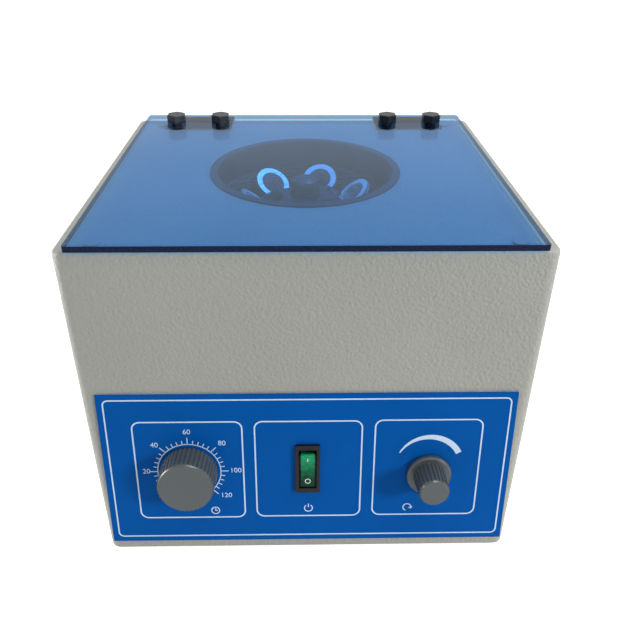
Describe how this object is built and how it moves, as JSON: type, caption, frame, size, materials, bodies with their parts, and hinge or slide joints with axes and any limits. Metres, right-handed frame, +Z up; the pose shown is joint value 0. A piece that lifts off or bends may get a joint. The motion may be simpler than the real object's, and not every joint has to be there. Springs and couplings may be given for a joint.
{
  "type": "tabletop centrifuge",
  "caption": "Tabletop angle-rotor centrifuge: tapered steel case, hinged translucent lid over the chamber, front panel with timer dial, power rocker and speed knob.",
  "frame": {"origin": "on the bench, under the middle of the bounding box of the whole part", "axes": "+Z up, the control panel faces -Y, +X to the right seen from the front"},
  "size_m": [0.2686, 0.2964, 0.21],
  "materials": {
    "case_paint": "wrinkle powder coat",
    "galvanised": "satin zinc",
    "screw_steel": "satin",
    "black_steel": "black oxide",
    "rubber": "matte",
    "clear_rubber": "matte",
    "collar_plastic": "matte",
    "bowl_aluminium": "satin",
    "lid_acrylic": "polished, translucent",
    "rotor_alloy": "dark anodised",
    "cup_alloy": "satin",
    "motor_steel": "satin",
    "motor_alloy": "cast, satin",
    "shaft_steel": "ground",
    "laminations": "satin",
    "copper": "enamelled wire",
    "brass": "satin",
    "carbon": "matte",
    "magnet": "matte",
    "panel_blue": "satin overlay",
    "knob_grey": "satin",
    "black_plastic": "satin",
    "rocker_green": "translucent",
    "board": "solder mask",
    "white_plastic": "matte"
  },
  "bodies": {
    "case": {"base_nuts": "screw_steel", "base_tray": "galvanised", "board_screws": "screw_steel", "board_standoffs": "brass", "bowl_nuts": "screw_steel", "brush_caps": "black_plastic", "brush_holders": "brass", "bush_nuts": "screw_steel", "capacitors": "motor_steel", "carbon_brushes": "carbon", "case_back": "case_paint", "case_deck": "case_paint", "case_front": "case_paint", "case_screws": "screw_steel", "case_sides": "case_paint", "chamber_bowl": "bowl_aluminium", "contact_blades": "brass", "control_board": "board", "deck_collar": "collar_plastic", "foot_screws": "screw_steel", "front_panel": "panel_blue", "fuse_cap": "black_plastic", "fuse_holder": "black_plastic", "heat_sink": "motor_alloy", "hinge_case_leaves": "black_steel", "hinge_pins": "screw_steel", "lid_bumpers": "clear_rubber", "mains_inlet": "black_plastic", "motor_bearings": "shaft_steel", "motor_can": "motor_steel", "motor_lower_bell": "motor_alloy", "motor_magnets": "magnet", "motor_plate": "galvanised", "motor_screws": "screw_steel", "motor_upper_bell": "motor_alloy", "mount_studs": "screw_steel", "rubber_feet": "rubber", "rubber_mounts": "rubber", "shaft_seal": "rubber", "speed_control": "motor_alloy", "switch_housing": "black_plastic", "terminal_block": "white_plastic", "timer_body": "black_plastic"},
    "lid": {"lid": "lid_acrylic", "lid_bolts": "black_steel", "hinge_lid_leaves": "black_steel"},
    "rotor": {"rotor_hub": "rotor_alloy", "tube_cups": "cup_alloy", "cup_cushions": "rubber", "rotor_washer": "rotor_alloy", "rotor_nut": "rotor_alloy", "motor_shaft": "shaft_steel", "armature": "laminations", "armature_windings": "copper", "commutator": "copper"},
    "timer_knob": {"timer_knob": "knob_grey", "timer_shaft": "shaft_steel"},
    "speed_knob": {"speed_knob": "knob_grey", "speed_shaft": "shaft_steel"},
    "power_rocker": {"power_rocker": "rocker_green"}
  },
  "joints": [
    {"name": "lid_hinge", "type": "hinge", "parent": "case", "child": "lid", "pos_m": [0, 0.14064, 0.1975], "axis": [-1, 0, 0], "range_deg": [0, 100]},
    {"name": "rotor_spin", "type": "hinge", "parent": "case", "child": "rotor", "pos_m": [0, 0.02074, 0.15], "axis": [0, 0, 1], "continuous": true},
    {"name": "timer_turn", "type": "hinge", "parent": "case", "child": "timer_knob", "pos_m": [-0.06999, -0.13578, 0.06971], "axis": [0, 0.9816, -0.1908], "range_deg": [0, 270]},
    {"name": "speed_turn", "type": "hinge", "parent": "case", "child": "speed_knob", "pos_m": [0.07199, -0.13635, 0.06677], "axis": [0, 0.9816, -0.1908], "range_deg": [0, 280]},
    {"name": "power_rocker_tilt", "type": "hinge", "parent": "case", "child": "power_rocker", "pos_m": [0, -0.12487, 0.06922], "axis": [-1, 0, 0], "range_deg": [0, 14]}
  ]
}
